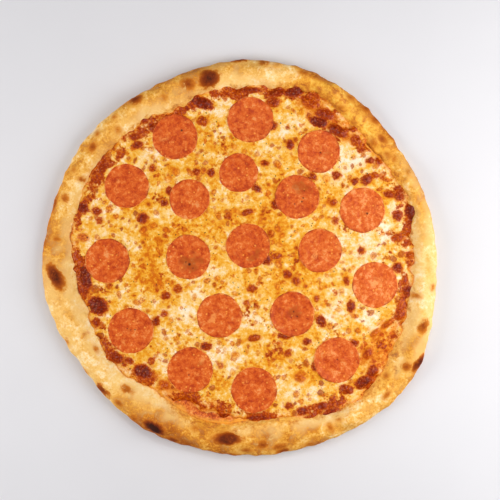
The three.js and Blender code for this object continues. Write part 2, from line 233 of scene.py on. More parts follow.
# Dull brown patches on the slices: slice number: (x and y from its middle, length, width, direction, tone)
DULL_PATCHES = {
    3: [(6, -0.5, 9, 8, 0, 0.4)],
    7: [(4, 8, 19, 12, -25, 0.75)],
    8: [(3, -3, 5, 4, 0, 0.5)],
    10: [(1.5, -4.5, 21, 16, 10, 1)],
    11: [(6.5, -7.5, 18, 7, 42, 0.6)],
    13: [(0, 5, 9, 5, -30, 0.4)],
    14: [(0, 1, 7, 4, 0, 0.3)],
    16: [(2, 1, 15, 11, 20, 0.7)],
    17: [(8, 5, 8, 6, 0, 0.45)],
    19: [(2, 0, 6, 5, 0, 0.3)],
}
# Lighter patches on the slices, partly fat and partly painted sheen, in the same terms
FAT_AND_SHEEN_PATCHES = {
    1: [(-9, -2, 9, 4, 10, 0.6), (-5, -5, 5, 3, 0, 0.4)],
    3: [(6, 1, 8, 5, 20, 0.5)],
    4: [(-7, 4, 4, 4, 0, 0.8)],
    8: [(13, 1, 8, 13, 0, 0.5)],
    9: [(8, -4.5, 4, 4, 0, 0.6)],
    12: [(-4.5, -4.5, 8, 6, 40, 0.8)],
    13: [(3, 3, 12, 9, 20, 0.5), (10, -8, 9, 5, -40, 0.5)],
    14: [(5, 9, 5, 10, 20, 0.6), (-6, -8, 8, 5, 30, 0.4)],
    15: [(-5, -2.5, 9, 6, 30, 0.9), (-1, 4, 5, 4, 0, 0.5)],
    17: [(10.5, 9, 7, 9, 0, 0.5), (6, -4, 6, 5, 0, 0.4)],
    18: [(-7, 6, 7, 5, 30, 0.4)],
    19: [(-6, 5, 7, 6, 0, 0.5)],
}
# Small pits in the slices: slice number: (x and y from its middle, width)
SLICE_PITS = {
    1: [(5.5, 5.5, 2.4)],
    3: [(1.5, -1, 1.8)],
    7: [(5, -1, 1.6), (4, -4, 1.8), (6, 5, 1.2), (-2, -6, 1.2)],
    8: [(4, -3, 2)],
    10: [(1, -6, 3), (-2, -4, 1.4), (4, -9, 1.2)],
    14: [(-3, 2, 1.2), (3.5, 1, 1.4), (0, 0.5, 1)],
    16: [(1, 2, 1.4), (4, -2, 1.4), (-1, -3, 1.2)],
    17: [(-1, -4, 1.4), (3, 2, 1)],
    19: [(0.5, 0.5, 1.4)],
}
# Where a slice's edge has curled up: slice number: (direction, rise)
SLICE_CURLS = {2: (300, 0.5), 9: (40, 0.6), 11: (318, 0.8), 16: (235, 0.9), 18: (270, 0.9), 19: (245, 0.9)}
CURL_HALF_WIDTH = 38  # of the curled stretch, in degrees

# Small blisters: how many, how far from the middle they reach, and their smallest and largest length
SMALL_BLISTERS = 300
BLISTER_REACH = 143
BLISTER_LENGTHS = (2.2, 6.4)
BLISTER_SEED = 11
# Flecks, in the same terms, with their width and thickness
FLECKS = 180
FLECK_REACH = 136
FLECK_LENGTHS = (0.6, 1.8)
FLECK_WIDTHS = (0.45, 0.9)
FLECK_THICKNESS = 0.32
FLECK_SEED = 5

# The view: the middle of the picture in the frame of the solids, and how much of it the picture covers
PICTURE_MIDDLE = (5.6, 8.5)
PICTURE_WIDTH = 418.4
LENS = 85
SENSOR = 36
FLOOR_REACH = 4000
FLOOR_DROP = 0.3  # of the floor below the underside, so that the two don't meet

# The lights, in metres and watts: name: (place, target, width, power)
LIGHTS = {
    "key": ((0.48, -0.02, 0.44), (0.02, 0, 0), 0.5, 3.6),
    "fill": ((-0.74, -0.08, 0.48), (-0.02, 0, 0), 0.6, 4.7),
    "glint": ((0.04, 0.32, 0.72), (0, 0, 0), 0.05, 0.5),
}
SKY_COLOUR = (0.95, 0.96, 1, 1)
SKY_STRENGTH = 0.28


# Shaping: smooth steps, waves and noise on arrays of points


def ease(value, low, high):
    """0 below low, 1 above high, smooth between them."""
    share = np.clip((value - low) / (high - low), 0, 1)
    return share * share * (3 - 2 * share)


def wave_sum(waves, angle):
    """The sum of a list of waves round the pizza, at angles in radians."""
    total = np.zeros_like(angle)
    for lobes, height, turn in waves:
        total += height * np.cos(lobes * angle + math.radians(turn))
    return total


def places_at(angle, places):
    """How strongly a list of places round the rim is felt at angles in radians."""
    total = np.zeros_like(angle)
    for middle, half_width, strength in places:
        away = (np.degrees(angle) - middle + 180) % 360 - 180
        total += strength * np.exp(-((away / half_width) ** 2))
    return total


def ripple(points, size, seed):
    """Smooth noise of about -1 to 1 at each point, in lumps of about a size: waves in all directions."""
    draw = np.random.default_rng(seed)
    total = np.zeros(len(points))
    for _ in range(RIPPLE_WAVES):
        direction = draw.normal(size=3)
        direction *= math.pi / (size * draw.uniform(0.7, 1.5) * np.linalg.norm(direction))
        total += np.cos(points @ direction + draw.uniform(0, math.tau))
    return total / math.sqrt(RIPPLE_WAVES)


def relief(points, table):
    """The sum of the ripples of a table."""
    return sum(height * ripple(points, size, seed) for size, height, seed in table)


def flat(x, y):
    """Points on the level plane, for noise that doesn't change with height."""
    return np.stack([x, y, np.zeros_like(x)], axis=1)


def oval_distance(x, y, patch):
    """Distance from an oval's middle, where 1 is its edge."""
    middle_x, middle_y, length, width, direction = patch[:5]
    turn = math.radians(direction)
    along = (x - middle_x) * math.cos(turn) + (y - middle_y) * math.sin(turn)
    across = (y - middle_y) * math.cos(turn) - (x - middle_x) * math.sin(turn)
    return np.hypot(along / (length / 2), across / (width / 2))


def patch_tone(x, y, patches, fray, inner, outer):
    """The strongest of the ovals at each point: full inside inner, gone past outer, frayed between."""
    tone = np.zeros_like(x)
    for patch in patches:
        reach = 1 - ease(oval_distance(x, y, patch) + fray, inner, outer)
        tone = np.maximum(tone, patch[5] * reach)
    return tone


def patch_field(x, y, patches):
    """For each point, how far in millimetres it lies outside the nearest oval, and that oval's tone."""
    gap = np.full_like(x, GAP_LIMIT)
    tone = np.zeros_like(x)
    for patch in patches:
        half = (patch[2] + patch[3]) / 4
        there = np.flatnonzero(np.hypot(x - patch[0], y - patch[1]) < patch[2] / 2 + GAP_LIMIT)
        away = (oval_distance(x[there], y[there], patch) - 1) * half
        closer = away < gap[there]
        gap[there[closer]] = away[closer]
        tone[there[closer]] = patch[5]
    return gap, tone


def outer_radius(angle):
    """Distance from the middle to the outside of the rim."""
    return OUTER + wave_sum(OUTLINE_WAVES, angle)


def well_radius(angle):
    """Distance from the middle to the foot of the rim's inner slope."""
    turns, creep = zip(*FOOT_CREEP)
    return WELL + wave_sum(WELL_WAVES, angle) - np.interp(np.degrees(angle), turns, creep, period=360)


def rim_height(angle):
    """Height of the rim's crest, without its bubbles."""
    return RIM_HEIGHT + wave_sum(HEIGHT_WAVES, angle) - places_at(angle, RIM_SAGS)


def foot_height(angle, radius):
    """Height of the rim's inner slope, at a radius near the edge of the toppings."""
    outwards = (radius - well_radius(angle)) / (outer_radius(angle) - well_radius(angle)) * RIM_WIDTH
    slope = [(RIM_WIDTH, BASE_THICKNESS), *RIM_SECTION[:-4:-1]]
    along = [RIM_WIDTH - inward for inward, _ in slope]
    return np.interp(outwards, along, [height for _, height in slope]) * rim_height(angle) / RIM_HEIGHT


def bubble_rise(x, y):
    """How far the air bubbles lift the rim."""
    rise = np.zeros_like(x)
    for degrees, share, radius, height in RIM_BUBBLES:
        angle = np.array([math.radians(degrees)])
        inside, outside = well_radius(angle)[0], outer_radius(angle)[0]
        middle = inside + share * (outside - inside)
        away = np.hypot(x - middle * math.cos(angle[0]), y - middle * math.sin(angle[0])) / radius
        rise += height * np.exp(-(away**2))
    return rise


def smooth_line(corners, step):
    """Points about a step apart on a smooth curve through the corners."""
    corners = [np.array(corner, float) for corner in corners]
    ends = [2 * corners[0] - corners[1], *corners, 2 * corners[-1] - corners[-2]]
    line = []
    for before, start, end, after in zip(ends, ends[1:], ends[2:], ends[3:]):
        count = max(2, round(np.linalg.norm(end - start) / step))
        for share in np.arange(count) / count:
            bend = 2 * before - 5 * start + 4 * end - after
            twist = 3 * (start - end) + after - before
            line.append(start + 0.5 * share * (end - before + share * (bend + share * twist)))
    return [*line, corners[-1]]


# Meshes


def piece_from(bm, name):
    """A finished object from a bmesh in millimetres, still to be shaped."""
    mesh = bpy.data.meshes.new(name)
    bm.to_mesh(mesh)
    bm.free()
    piece = bpy.data.objects.new(name, mesh)
    bpy.context.scene.collection.objects.link(piece)
    mesh.shade_smooth()
    return piece


def turned(name, profile, steps):
    """A solid of revolution about Z, from a profile that starts and ends on the axis."""
    bm = bmesh.new()
    corners = [bm.verts.new((radius, 0, height)) for radius, height in profile]
    for pair in zip(corners, corners[1:]):
        bm.edges.new(pair)
    section = piece_from(bm, name + "_section")
    turn = section.modifiers.new("turn", "SCREW")
    turn.steps = turn.render_steps = steps
    turn.use_merge_vertices = True
    turn.merge_threshold = MERGE
    bm = bmesh.new()
    bm.from_object(section, bpy.context.evaluated_depsgraph_get())
    bpy.data.objects.remove(section)
    bmesh.ops.remove_doubles(bm, verts=bm.verts, dist=MERGE)
    bmesh.ops.recalc_face_normals(bm, faces=bm.faces)
    return piece_from(bm, name)


def points_of(piece):
    """A piece's points as an array, one row each."""
    points = np.empty(len(piece.data.vertices) * 3, np.float32)
    piece.data.vertices.foreach_get("co", points)
    return points.reshape(-1, 3).astype(float)


def move_points(piece, points):
    """Puts a piece's points at the places of an array."""
    piece.data.vertices.foreach_set("co", points.astype(np.float32).ravel())
    piece.data.update()


def outward(piece):
    """The direction each point faces, as an array."""
    normals = np.empty(len(piece.data.vertices) * 3, np.float32)
    piece.data.vertex_normals.foreach_get("vector", normals)
    return normals.reshape(-1, 3).astype(float)


def keep_tones(piece, **tones):
    """Stores numbers for each point, which the finishes read by name."""
    for name, values in tones.items():
        tone = piece.data.attributes.new(name, "FLOAT", "POINT")
        tone.data.foreach_set("value", np.asarray(values, np.float32))


def finish_piece(piece, material, slot, *nodes):
    """Brings a shaped piece to metres and ties it to the frame."""
    piece.data.transform(Matrix.Scale(MM, 4))
    piece.data.materials.append(material)
    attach(piece, "root")
    if nodes:
        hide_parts(*nodes)
    return piece


# The dough


def dough_profile():
    """From the axis underneath, out and round the rim, and back over the floor to the axis."""
    rim = [(OUTER - inward, height) for inward, height in RIM_SECTION] + [(WELL, BASE_THICKNESS)]
    underside = [(radius, 0) for radius in np.linspace(0, rim[0][0], 9)[:-1]]
    floor = [(radius, BASE_THICKNESS) for radius in (136, 120, 80, 40, 0)]
    return underside + [tuple(point) for point in smooth_line(rim, 0.86)] + floor


def shape_dough(piece):
    """Bends the turned dough to its outline and heights: (share of the way out, height when even)."""
    x, y, height = points_of(piece).T
    angle = np.arctan2(y, x)
    radius = np.hypot(x, y)
    well, outside = well_radius(angle), outer_radius(angle)
    outwards = (radius - WELL) / RIM_WIDTH
    on_rim = outwards > MERGE
    upper = ease(height, BASE_THICKNESS, RIM_HEIGHT) * on_rim
    leaning = upper * 4 * outwards * (1 - outwards) * wave_sum(CREST_WAVES, angle)
    radius = np.where(on_rim, well + (outside - well) * outwards + leaning, radius * well / WELL)
    x, y = radius * np.cos(angle), radius * np.sin(angle)
    raised = height * rim_height(angle) / RIM_HEIGHT + upper * bubble_rise(x, y)
    move_points(piece, np.stack([x, y, np.where(on_rim, raised, height)], axis=1))
    return np.clip(outwards, -0.2, 1), height


def rim_spots_flat():
    """The scorched spots as ovals on the plane."""
    ovals = []
    for degrees, distance, length, width, slant, tone in RIM_SPOTS:
        angle = math.radians(degrees)
        x, y = distance * math.cos(angle), distance * math.sin(angle)
        ovals.append((x, y, length, width, degrees + 90 + slant, tone))
    return ovals


def brown_dough(piece, share, height, lumps, knots, gap, tone):
    """Keeps how pale, toasted, oily and scorched each point is."""
    x, y, _ = points_of(piece).T
    angle = np.arctan2(y, x)
    top = ease(height, 3, 9)
    side = ease(share, 0.72, 1) * ease(height, 1, 5)
    toast = places_at(angle, TOASTED_PLACES) * (top + 0.8 * side) + side * (0.25 * lumps - 0.1)
    pale = places_at(angle, PALE_PLACES) * (1 - ease(share + 0.12 * lumps + 0.08 * knots, 0.1, 0.75))
    floury = places_at(angle, FLOURY_PLACES) * ease(share + 0.1 * lumps, 0.5, 0.8)
    reach = places_at(angle, OILY_PLACES) + 0.04 * lumps + 0.03 * knots
    keep_tones(
        piece, spot_gap=gap, spot_tone=tone * top, toast=toast, pale=pale + floury, oil_reach=reach - share,
        under=1 - ease(height, 0, 3),
    )


def swell_dough(piece, share, height, lumps, knots, blistered):
    """Raises lumps, knots and wrinkles on the rim, higher where it is scorched."""
    points = points_of(piece)
    swell = (0.8 - 0.5 * ease(share, 0.7, 1)) * lumps + 0.4 * knots + 0.14 * ripple(points, 2.8, seed=3)
    swell += 0.7 * blistered * ease(share, 0.05, 0.3)
    swell *= ease(height, 0.5, 5) * ease(share, 0, 0.15)
    move_points(piece, points + outward(piece) * swell[:, None])


def make_crust():
    """The dough, base and rim in one."""
    piece = turned("baked_crust", dough_profile(), CRUST_STEPS)
    share, height = shape_dough(piece)
    points = points_of(piece)
    lumps = ripple(points, 15, seed=1)
    knots = ripple(points, 6, seed=2)
    gap, tone = patch_field(points[:, 0], points[:, 1], rim_spots_flat())
    brown_dough(piece, share, height, lumps, knots, gap, tone)
    swell_dough(piece, share, height, lumps, knots, tone * (1 - ease(gap, -2, 2)))
    return finish_piece(piece, crust_finish(), "crust", "crust")


# The sauce


def make_sauce():
    """A disc whose lumpy top shows at its edge, where it runs a little way up the foot of the rim."""
    edge = [(1, (SAUCE_BOTTOM + SAUCE_TOP) / 2)]
    band = [(share, SAUCE_TOP) for share in np.linspace(0.995, 0.84, 30)]
    middle = [(0.6, SAUCE_TOP), (0.3, SAUCE_TOP), (0, SAUCE_TOP)]
    profile = [(0, SAUCE_BOTTOM), (0.5, SAUCE_BOTTOM), (0.99, SAUCE_BOTTOM), *edge, *band, *middle]
    piece = turned("tomato_sauce", profile, SAUCE_STEPS)
    x, y, height = points_of(piece).T
    angle = np.arctan2(y, x)
    share = np.hypot(x, y)
    radius = share * (well_radius(angle) + 1.1)
    x, y = radius * np.cos(angle), radius * np.sin(angle)
    top = ease(height, SAUCE_BOTTOM, SAUCE_TOP)
    pulp = relief(flat(x, y), SAUCE_PULP)
    climb = 1.3 * ease(share, 0.972, 1)
    height = height + top * (climb + pulp * ease(share, 0.8, 0.86))
    move_points(piece, np.stack([x, y, height], axis=1))
    keep_tones(piece, oily=ease(share + 0.01 * ripple(flat(x, y), 6, seed=23), 0.965, 1))
    return finish_piece(piece, sauce_finish(), "sauce", "sauce")


# The cheese


def disc_from_square(x, y):
    """Where a square grid's points go when it is rounded to a disc: (share of the radius, angle)."""
    wide = np.abs(x) >= np.abs(y)
    radius = np.where(wide, x, y)
    safe = np.where(np.abs(radius) < 1e-9, 1, radius)
    slope = np.where(wide, y, x) / safe * math.pi / 4
    angle = np.where(wide, slope, math.pi / 2 - slope)
    angle = np.where(radius < 0, angle + math.pi, angle)
    return np.abs(radius), (angle + math.pi) % math.tau - math.pi


def cheese_radius(angle):
    """The ragged edge of the cheese, which draws back where the sauce shows."""
    ring = np.stack([WELL * np.cos(angle), WELL * np.sin(angle), np.zeros_like(angle)], axis=1)
    ragged = 1.1 * ripple(ring, 9, seed=31) + 0.7 * ripple(ring, 4, seed=32)
    retreat = places_at(angle, CHEESE_RETREATS)
    return well_radius(angle) + 2.8 - retreat + np.clip(ragged * (1 + 0.15 * retreat), -3, 1)


def slices_mm():
    """Each slice as (name, x, y, radius, bottom, thickness)."""
    found = []
    for name in SLICE_NAMES:
        low, high = box_mm(name)
        middle = (low + high) / 2
        found.append((name, middle[0], middle[1], (high[0] - low[0]) / 2, low[2], high[2] - low[2]))
    return found


def small_blisters():
    """Small browned blisters all over the cheese, clear of the slices and of each other."""
    draw = random.Random(BLISTER_SEED)
    taken = [(x, y, radius - 1) for _, x, y, radius, _, _ in slices_mm()]
    taken += [(x, y, length / 2) for x, y, length, *_ in BROWN_PATCHES]
    smallest, largest = BLISTER_LENGTHS
    blisters = []
    while len(blisters) < SMALL_BLISTERS:
        distance = BLISTER_REACH * math.sqrt(draw.random())
        turn = draw.random() * math.tau
        size = smallest + (largest - smallest) * draw.random() ** 2
        tone = 0.25 + 0.5 * draw.random() ** 1.5 + 0.25 * (distance > 98)
        stretch = 0.55 + 0.45 * draw.random()
        x, y = distance * math.cos(turn), distance * math.sin(turn)
        if all(math.hypot(x - other[0], y - other[1]) > size / 2 + other[2] for other in taken):
            blisters.append((x, y, size, size * stretch, math.degrees(turn * 7), tone))
            taken.append((x, y, size * 0.8))
    return blisters


def cheese_grid():
    """A square grid with a skirt and a bottom, one unit wide each way from the middle."""
    bm = bmesh.new()
    bmesh.ops.create_grid(bm, x_segments=CHEESE_CELLS, y_segments=CHEESE_CELLS, size=1)
    bmesh.ops.translate(bm, verts=bm.verts, vec=(0, 0, 1))
    rim = [edge for edge in bm.edges if edge.is_boundary]
    skirt = bmesh.ops.extrude_edge_only(bm, edges=rim)["geom"]
    low = [part for part in skirt if isinstance(part, bmesh.types.BMVert)]
    bmesh.ops.translate(bm, verts=low, vec=(0, 0, -1))
    bmesh.ops.holes_fill(bm, edges=[edge for edge in bm.edges if edge.is_boundary], sides=0)
    bmesh.ops.recalc_face_normals(bm, faces=bm.faces)
    return piece_from(bm, "melted_cheese")


def long_waves(x, y):
    """The gentle waves of the whole layer."""
    total = np.zeros_like(x)
    for length, height, direction, turn in CHEESE_WAVES:
        along = x * math.cos(math.radians(direction)) + y * math.sin(math.radians(direction))
        total += height * np.cos(math.tau * along / length + math.radians(turn))
    return total


def blister_domes(x, y, blisters, rise):
    """The height of the raised blisters, a share of their own length."""
    height = np.zeros_like(x)
    for blister in blisters:
        away = np.clip(oval_distance(x, y, blister), 0, 1.2) / 1.2
        height = np.maximum(height, rise * blister[2] * (1 - away**2) ** 1.5)
    return height


def slice_nearness(x, y):
    """Distance to the edge of the nearest slice, negative under it."""
    nearest = np.full_like(x, 1e3)
    for _, middle_x, middle_y, radius, _, _ in slices_mm():
        nearest = np.minimum(nearest, np.hypot(x - middle_x, y - middle_y) - radius)
    return nearest


def cheese_top(x, y, pools, webs, bumps, crisp):
    """The height of the cheese away from its edge: waves, bumps, and a seat under each slice."""
    grains, bits = ripple(flat(x, y), 2.4, seed=43), ripple(flat(x, y), 1.7, seed=44)
    near = slice_nearness(x, y)
    uneven = long_waves(x, y) + 0.3 * pools + 0.26 * webs + 0.15 * grains + bumps + 0.35 * crisp * bits
    uneven *= 0.35 + 0.65 * ease(near, 0, 4)
    meniscus = (0.3 + 0.6 * np.clip(webs, 0, 1)) * np.exp(-(((near - 0.3) / 1.1) ** 2))
    seat = 1.6 * (1 - ease(near, -2.2, -0.4))
    return CHEESE_TOP + uneven + meniscus - seat


def make_cheese():
    """The melted layer, whose edge climbs a little up the foot of the rim."""
    piece = cheese_grid()
    x, y, level = points_of(piece).T
    share, angle = disc_from_square(x, y)
    edge_radius = cheese_radius(angle)
    radius = share * edge_radius
    x, y = radius * np.cos(angle), radius * np.sin(angle)
    inward = edge_radius - radius
    pools, webs = ripple(flat(x, y), 13, seed=41), ripple(flat(x, y), 5, seed=42)

    small = small_blisters()
    patch_gap, patch_shade = patch_field(x, y, BROWN_PATCHES)
    blister_gap, blister_shade = patch_field(x, y, small)
    bumps = blister_domes(x, y, BROWN_PATCHES, 0.13) + blister_domes(x, y, small, 0.14)
    crisp = patch_shade * (1 - ease(patch_gap, -1, 1.5)) + 0.5 * np.exp(-(((inward - 5) / 5) ** 2))

    foot = np.maximum(foot_height(angle, edge_radius) + 0.2, SAUCE_TOP + 0.7)
    top = foot + (cheese_top(x, y, pools, webs, bumps, crisp) - foot) * ease(inward, 0, 5)
    height = np.where(level > 0.5, top, CHEESE_BOTTOM)
    move_points(piece, np.stack([x, y, height], axis=1))
    keep_tones(
        piece, patch_gap=patch_gap, patch_tone=patch_shade, blister_gap=blister_gap,
        blister_tone=blister_shade, inward=np.clip(inward, 0, 30),
        creamy=patch_tone(x, y, CREAMY_PATCHES, fray=0.3 * pools, inner=0.2, outer=1.3),
        orange=patch_tone(x, y, ORANGE_PATCHES, fray=0.3 * pools, inner=0.2, outer=1.3),
        stewed=patch_tone(x, y, STEWED_PATCHES, fray=0.25 * webs, inner=0.5, outer=1.25),
    )
    return finish_piece(piece, cheese_finish(), "cheese", "cheese")


# The slices of pepperoni


def slice_profile(radius, thickness):
    """Half a slice's section: flat below, a rounded edge, and a shallow dish on top."""
    edge = [
        (radius - 0.5, 0), (radius, thickness * 0.45),
        (radius - 0.35, thickness * 0.9), (radius - 1, thickness),
    ]
    dish = [
        (share * radius, thickness - SLICE_DISH * (1 - share**2)) for share in np.linspace(0.92, 0, 27)
    ]
    return [(0, 0), (radius * 0.5, 0)] + [tuple(point) for point in smooth_line(edge, 0.4)] + dish


def slice_waves(angle, draw, lobes, low, high):
    """Waves round a slice, each of a height drawn between low and high."""
    return sum(
        draw.uniform(low, high) * np.cos(count * angle + draw.uniform(0, math.tau)) for count in lobes
    )


def slice_lift(number, share, angle, draw):
    """How far a slice's points are raised by its tilt, its warp and its curled edge."""
    tilt, lean = draw.uniform(0, math.tau), draw.uniform(0.05, 0.3)
    warp = slice_waves(angle, draw, (2, 3, 4), 0.03, 0.14)
    direction, rise = SLICE_CURLS.get(number, (0, 0))
    away = (np.degrees(angle) - direction + 180) % 360 - 180
    curl = rise * np.exp(-((away / CURL_HALF_WIDTH) ** 2)) * ease(share, 0.6, 1.02)
    return lean * share * np.cos(angle - tilt) + warp * share**2 + curl


def pits_at(number, x, y):
    """The small pits of a slice: 1 in the middle of each, 0 outside."""
    pits = np.zeros_like(x)
    for pit_x, pit_y, width in SLICE_PITS.get(number, []):
        pits = np.maximum(pits, 1 - ease(np.hypot(x - pit_x, y - pit_y), width * 0.15, width * 0.6))
    return pits


def make_slice(number, place, material):
    """One slice, a little out of round, with its own colour, patches and pits."""
    name, middle_x, middle_y, radius, bottom, thickness = place
    piece = turned("pepperoni_slice_%02d" % number, slice_profile(radius, thickness), SLICE_STEPS)
    x, y, height = points_of(piece).T
    draw = random.Random(number)
    angle = np.arctan2(y, x)
    share = np.hypot(x, y) / radius
    out_of_round = 1 + slice_waves(angle, draw, (2, 3, 5, 9), 0.003, 0.011)
    lift = slice_lift(number, share, angle, draw)
    x, y = x * out_of_round, y * out_of_round
    here = flat(x + middle_x, y + middle_y)

    dull_fray, fatty_fray = 0.2 * ripple(here, 4, seed=54), 0.3 * ripple(here, 3, seed=55)
    dull = patch_tone(x, y, DULL_PATCHES.get(number, []), fray=dull_fray, inner=0.3, outer=1.25)
    # The lighter patches are partly fat and partly painted sheen.
    fatty = patch_tone(x, y, FAT_AND_SHEEN_PATCHES.get(number, []), fray=fatty_fray, inner=0.2, outer=1.3)
    pits = pits_at(number, x, y)
    top = ease(height, thickness * 0.4, thickness * 0.7)
    raised = bottom + height + lift + top * (relief(here, SLICE_GRAIN) - 0.5 * pits - 0.2 * dull)
    move_points(piece, np.stack([here[:, 0], here[:, 1], raised], axis=1))
    keep_tones(
        piece, rind=ease(share, 0.86, 1.0), lip=ease(share, 0.9, 1.0), dull=dull, fatty=fatty, pit=pits,
        tint=np.full_like(x, SLICE_TINTS[number - 1]),
    )
    return finish_piece(piece, material, "pepperoni", name)


def make_pepperoni():
    """All the slices, with one finish."""
    material = pepperoni_finish()
    for number, place in enumerate(slices_mm(), 1):
        make_slice(number, place, material)


# Flecks of dried herb and pepper


def nearest_points(piece):
    """A tree that finds the point of a piece nearest to a place."""
    points = points_of(piece)
    tree = kdtree.KDTree(len(points))
    for index, point in enumerate(points):
        tree.insert(point, index)
    tree.balance()
    return tree


def make_flecks(cheese):
    """Thin irregular flecks, lying on the cheese."""
    draw = random.Random(FLECK_SEED)
    ground = nearest_points(cheese)
    covered = [(x, y, radius + 0.5) for _, x, y, radius, _, _ in slices_mm()]
    bm = bmesh.new()
    placed = 0
    while placed < FLECKS:
        distance, turn = FLECK_REACH * math.sqrt(draw.random()), draw.random() * math.tau
        x, y = distance * math.cos(turn), distance * math.sin(turn)
        if any(math.hypot(x - other[0], y - other[1]) < other[2] for other in covered):
            continue
        rest = ground.find((x * MM, y * MM, CHEESE_TOP * MM))[0] / MM
        length, width = draw.uniform(*FLECK_LENGTHS), draw.uniform(*FLECK_WIDTHS)
        size = Matrix.Diagonal((length / 2, width / 2, FLECK_THICKNESS / 2, 1))
        middle = Vector((x, y, rest.z + FLECK_THICKNESS / 4))
        place = Matrix.Translation(middle) @ Matrix.Rotation(draw.random() * math.pi, 4, "Z")
        made = bmesh.ops.create_icosphere(bm, subdivisions=1, radius=1, matrix=place @ size)["verts"]
        for vert in made:
            vert.co += Vector((draw.uniform(-0.08, 0.08), draw.uniform(-0.08, 0.08), 0))
        placed += 1
    return finish_piece(piece_from(bm, "herb_flecks"), herb_finish(), "cheese")


# Finishes


def srgb(red, green, blue):
    """A colour from 0 to 255 as seen on a screen, as the shaders take it."""
    shares = [value / 255 for value in (red, green, blue)]
    linear = [share / 12.92 if share < 0.04045 else ((share + 0.055) / 1.055) ** 2.4 for share in shares]
    return (*linear, 1)


class Finish:
    """A material's nodes, with short calls for those that the finishes share."""

    def __init__(self, name, **constants):
        self.material = bpy.data.materials.new(name)
        self.material.use_nodes = True
        self.tree = self.material.node_tree
        self.tree.nodes.clear()
        self.shader = self.add("BsdfPrincipled", **constants)
        output = self.add("OutputMaterial")
        self.tree.links.new(self.shader.outputs[0], output.inputs["Surface"])
        self.place = self.add("TexCoord").outputs["Object"]

    def add(self, kind, settings=None, **inputs):
        """A node, its settings, and its inputs by name with _ for a space."""
        made = self.tree.nodes.new("ShaderNode" + kind)
        for key, value in (settings or {}).items():
            setattr(made, key, value)
        for key, value in inputs.items():
            self.feed(made.inputs[key.replace("_", " ")], value)
        return made

    def feed(self, socket, value):
        """Sets an input, or links it where the value is an output."""
        if isinstance(value, bpy.types.NodeSocket):
            self.tree.links.new(value, socket)
        else:
            socket.default_value = value

    def math(self, operation, first, second=0.0):
        made = self.add("Math", {"operation": operation})
        self.feed(made.inputs[0], first)
        self.feed(made.inputs[1], second)
        return made.outputs[0]

    def times(self, first, second):
        return self.math("MULTIPLY", first, second)

    def rest(self, value):
        """What is left of 1."""
        return self.math("SUBTRACT", 1.0, value)

    def total(self, *terms):
        """The sum of (share, value) pairs."""
        result = 0.0
        for share, value in terms:
            made = self.add("Math", {"operation": "MULTIPLY_ADD"})
            for socket, part in zip(made.inputs, (value, share, result)):
                self.feed(socket, part)
            result = made.outputs[0]
        return result

    def rise(self, value, low, high):
        """0 below low, 1 above high, smooth between them."""
        made = self.add("MapRange", {"interpolation_type": "SMOOTHSTEP"}, Value=value)
        self.feed(made.inputs["From Min"], low)
        self.feed(made.inputs["From Max"], high)
        return made.outputs[0]

    def mix(self, share, first, second, kind="MIX"):
        made = self.add("Mix", {"data_type": "RGBA", "blend_type": kind})
        self.feed(made.inputs[0], share)
        self.feed(made.inputs[6], first)
        self.feed(made.inputs[7], second)
        return made.outputs[2]

    def ramp(self, value, *stops):
        """Colours along a value, from (position, red, green, blue) stops."""
        made = self.add("ValToRGB", Fac=value)
        colours = made.color_ramp.elements
        while len(colours) < len(stops):
            colours.new(1)
        for element, (position, *colour) in zip(colours, stops):
            element.position = position
            element.color = srgb(*colour)
        return made.outputs[0]

    def noise(self, size, detail, roughness=0.5, distortion=0):
        """Noise in lumps of a size in millimetres."""
        made = self.add(
            "TexNoise", Vector=self.place, Scale=1 / (size * MM), Detail=detail, Roughness=roughness,
            Distortion=distortion,
        )
        return made.outputs[0]

    def cells(self, size, place):
        """Scattered points about a size apart: (distance to the nearest, its random colour)."""
        made = self.add("TexVoronoi", Vector=place, Scale=1 / (size * MM))
        return made.outputs["Distance"], made.outputs["Color"]

    def shaken(self, size, amount):
        """The place, moved a little by noise so that round things aren't round."""
        wobble = self.add("TexNoise", Vector=self.place, Scale=1 / (size * MM), Detail=2).outputs["Color"]
        centred = self.add("VectorMath", {"operation": "SUBTRACT"})
        self.feed(centred.inputs[0], wobble)
        self.feed(centred.inputs[1], (0.5, 0.5, 0.5))
        moved = self.add("VectorMath", {"operation": "MULTIPLY_ADD"})
        self.feed(moved.inputs[0], centred.outputs[0])
        self.feed(moved.inputs[1], (amount * MM,) * 3)
        self.feed(moved.inputs[2], self.place)
        return moved.outputs[0]

    def rings(self, spacing, smallest, largest, share):
        """Small round bubbles at a share of the places: (inside, rim)."""
        distance, colour = self.cells(spacing, self.shaken(spacing * 0.6, spacing))
        split = self.add("SeparateColor", Color=colour)
        size = self.total((largest - smallest, split.outputs[0]), (1.0, smallest))
        there = self.math("LESS_THAN", split.outputs[1], share)
        away = self.math("DIVIDE", distance, size)
        inside = self.rest(self.rise(away, 0.5, 1.35))
        rim = self.bell(away, 0.85, 0.4)
        return [self.times(there, part) for part in (inside, rim)]

    def bell(self, value, middle, half_width):
        """1 at the middle, falling to 0 on either side."""
        away = self.math("ABSOLUTE", self.math("SUBTRACT", value, middle))
        return self.rest(self.rise(away, 0.0, half_width))

    def tone(self, name):
        """A number kept on the piece's points."""
        return self.add("Attribute", {"attribute_name": name}).outputs["Fac"]

    def surface(self, colour, roughness, height, depth):
        """Sets the colour and roughness, and bumps of a depth in millimetres."""
        self.feed(self.shader.inputs["Base Color"], colour)
        self.feed(self.shader.inputs["Roughness"], roughness)
        bump = self.add("Bump", Strength=1.0, Distance=depth * MM, Height=height)
        self.feed(self.shader.inputs["Normal"], bump.outputs[0])
        return self.material


